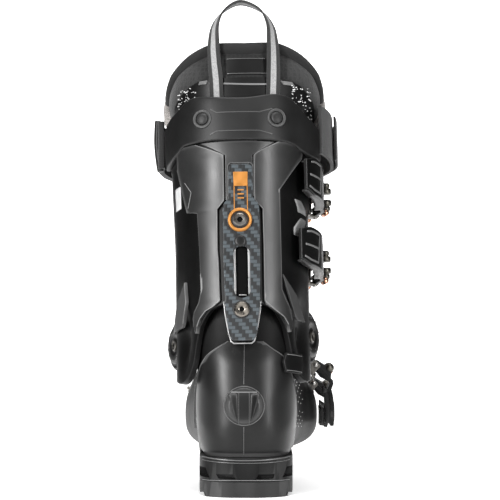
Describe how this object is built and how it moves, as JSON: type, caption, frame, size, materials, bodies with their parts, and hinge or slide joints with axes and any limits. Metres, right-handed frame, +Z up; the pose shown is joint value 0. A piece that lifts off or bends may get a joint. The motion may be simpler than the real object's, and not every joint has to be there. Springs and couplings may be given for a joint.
{
  "type": "alpine ski boot",
  "caption": "Right-foot alpine ski boot with hinged cuff, over-centre buckles, power strap, flex spine, bolt-on soles and padded liner.",
  "frame": {"origin": "centre of the heel plate's rest face, on the ground", "axes": "+Z up, +Y to the toe, +X to the outer side of the foot"},
  "size_m": [0.1451, 0.306, 0.3807],
  "materials": {
    "shell_plastic": "satin black injection-moulded plastic",
    "cuff_plastic": "satin dark grey injection-moulded plastic",
    "sole_rubber": "dark grey grippy rubber",
    "spine_carbon": "woven carbon fibre under clear resin",
    "orange_trim": "orange anodised trim",
    "copper_wire": "copper-coloured plated wire",
    "buckle_metal": "gunmetal plated metal",
    "lever_black": "black anodised aluminium",
    "cap_black": "black plastic cap",
    "soft_rubber": "soft black thermoplastic rubber",
    "liner_fabric": "black padded liner fabric",
    "strap_webbing": "black and grey woven webbing",
    "screw_steel": "zinc plated screw steel"
  },
  "bodies": {
    "shell": {"lower_shell": "shell_plastic", "heel_badge": "shell_plastic", "heel_sole_plate": "sole_rubber", "toe_sole_plate": "sole_rubber", "heel_screw_1": "screw_steel", "heel_screw_2": "screw_steel", "heel_screw_3": "screw_steel", "heel_screw_4": "screw_steel", "toe_screw_1": "screw_steel", "toe_screw_2": "screw_steel", "toe_screw_3": "screw_steel", "toe_screw_4": "screw_steel", "boot_board": "soft_rubber", "liner_foot": "liner_fabric", "instep_base": "buckle_metal", "instep_ladder": "buckle_metal", "toe_base": "buckle_metal", "toe_ladder": "buckle_metal"},
    "cuff_body": {"cuff": "cuff_plastic", "pivot_bolt_inner": "screw_steel", "pivot_bolt_outer": "screw_steel", "cant_disc_inner": "cap_black", "cant_disc_outer": "cap_black", "spine_plate": "spine_carbon", "spine_slot_frame": "buckle_metal", "spine_ring": "orange_trim", "spine_marker": "orange_trim", "spine_bolt_upper": "buckle_metal", "spine_bolt_lower": "buckle_metal", "yoke_bolt_inner": "cap_black", "yoke_bolt_outer": "cap_black", "yoke_collar_inner": "soft_rubber", "yoke_collar_outer": "soft_rubber", "strap_yoke": "soft_rubber", "power_strap": "strap_webbing", "liner_shaft": "liner_fabric", "liner_tongue": "liner_fabric", "rear_pull_loop": "strap_webbing", "tongue_pull_loop": "strap_webbing", "cuff_upper_base": "buckle_metal", "cuff_upper_ladder": "buckle_metal", "cuff_lower_base": "buckle_metal", "cuff_lower_ladder": "buckle_metal"},
    "cuff_upper_lever_body": {"cuff_upper_lever": "lever_black"},
    "cuff_upper_bail_body": {"cuff_upper_bail": "copper_wire", "cuff_upper_barrel": "buckle_metal"},
    "cuff_lower_lever_body": {"cuff_lower_lever": "lever_black"},
    "cuff_lower_bail_body": {"cuff_lower_bail": "copper_wire", "cuff_lower_barrel": "buckle_metal"},
    "instep_lever_body": {"instep_lever": "lever_black"},
    "instep_bail_body": {"instep_bail": "copper_wire", "instep_barrel": "buckle_metal"},
    "toe_lever_body": {"toe_lever": "lever_black"},
    "toe_bail_body": {"toe_bail": "copper_wire", "toe_barrel": "buckle_metal"}
  },
  "joints": [
    {"name": "cuff_flex", "type": "hinge", "parent": "shell", "child": "cuff_body", "pos_m": [-0.0023, 0.042, 0.111], "axis": [-1, 0, 0], "range_deg": [0, 8], "stiffness_Nm_per_rad": 150},
    {"name": "cuff_upper_lever_hinge", "type": "hinge", "parent": "cuff_body", "child": "cuff_upper_lever_body", "pos_m": [0.05576, 0.09354, 0.22685], "axis": [-0.0175, 0.2079, 0.978], "range_deg": [0, 90]},
    {"name": "cuff_upper_bail_hinge", "type": "hinge", "parent": "cuff_upper_lever_body", "child": "cuff_upper_bail_body", "pos_m": [0.05772, 0.08392, 0.22893], "axis": [-0.0175, 0.2079, 0.978], "range_deg": [-122, 0]},
    {"name": "cuff_lower_lever_hinge", "type": "hinge", "parent": "cuff_body", "child": "cuff_lower_lever_body", "pos_m": [0.05511, 0.08189, 0.17205], "axis": [-0.0175, 0.2079, 0.978], "range_deg": [0, 90]},
    {"name": "cuff_lower_bail_hinge", "type": "hinge", "parent": "cuff_lower_lever_body", "child": "cuff_lower_bail_body", "pos_m": [0.05699, 0.07226, 0.17413], "axis": [-0.0175, 0.2079, 0.978], "range_deg": [-122, 0]},
    {"name": "instep_lever_hinge", "type": "hinge", "parent": "shell", "child": "instep_lever_body", "pos_m": [0.05808, 0.15325, 0.08965], "axis": [0, -0.9998, 0.0201], "range_deg": [0, 75]},
    {"name": "instep_bail_hinge", "type": "hinge", "parent": "instep_lever_body", "child": "instep_bail_body", "pos_m": [0.06419, 0.15309, 0.08169], "axis": [0, -0.9998, 0.0201], "range_deg": [-122, 0]},
    {"name": "toe_lever_hinge", "type": "hinge", "parent": "shell", "child": "toe_lever_body", "pos_m": [0.05814, 0.21197, 0.07076], "axis": [0, -1, -0.0093], "range_deg": [0, 90]},
    {"name": "toe_bail_hinge", "type": "hinge", "parent": "toe_lever_body", "child": "toe_bail_body", "pos_m": [0.06447, 0.21205, 0.06299], "axis": [0, -1, -0.0093], "range_deg": [-122, 0]}
  ],
  "couplings": [
    {"joint": "cuff_upper_bail_hinge", "follows": "cuff_upper_lever_hinge", "ratio": -1.35},
    {"joint": "cuff_lower_bail_hinge", "follows": "cuff_lower_lever_hinge", "ratio": -1.35},
    {"joint": "instep_bail_hinge", "follows": "instep_lever_hinge", "ratio": -1.35},
    {"joint": "toe_bail_hinge", "follows": "toe_lever_hinge", "ratio": -1.35}
  ]
}
